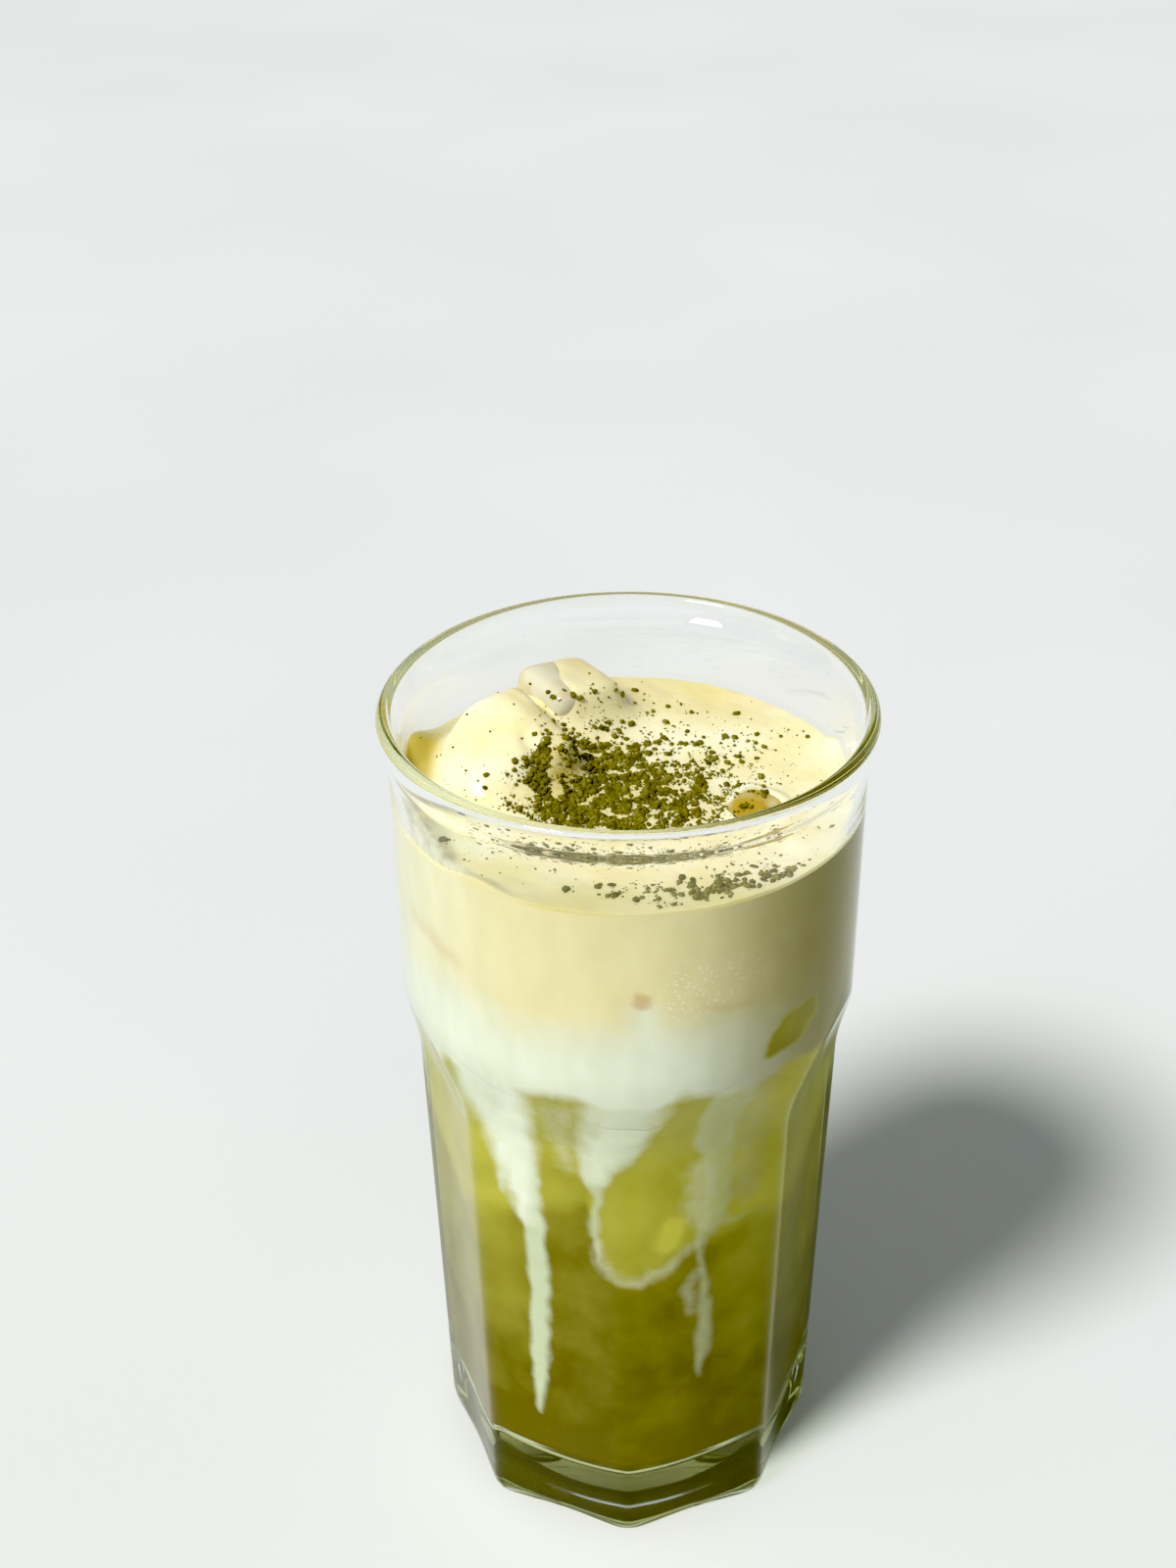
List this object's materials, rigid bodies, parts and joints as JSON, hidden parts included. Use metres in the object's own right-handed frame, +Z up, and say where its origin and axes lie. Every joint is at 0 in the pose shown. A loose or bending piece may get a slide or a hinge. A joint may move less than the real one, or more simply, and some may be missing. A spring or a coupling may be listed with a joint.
{
  "type": "iced matcha tonic in a tumbler",
  "caption": "Faceted pressed-glass tumbler filled with green matcha drink under a deep cap of soft cream, with ice standing out of it and powder on top.",
  "frame": {"origin": "middle of the tumbler's foot, on the surface it stands on", "axes": "+Z up along the tumbler's axis; a ridge between two facets points along -Y, and the picture was taken from the -Y side"},
  "size_m": [0.082, 0.082, 0.157],
  "materials": {
    "soda_glass": "polished",
    "green_tea": "liquid",
    "sweet_cream": "satin",
    "cream_coat": "satin",
    "clear_ice": "wet"
  },
  "bodies": {
    "root": {"tumbler": "soda_glass", "matcha_drink": "green_tea", "cream_cap": "sweet_cream", "ice_cube_coated": "cream_coat", "ice_cube_bare": "clear_ice", "ice_cube_sunk": "clear_ice"}
  },
  "joints": []
}
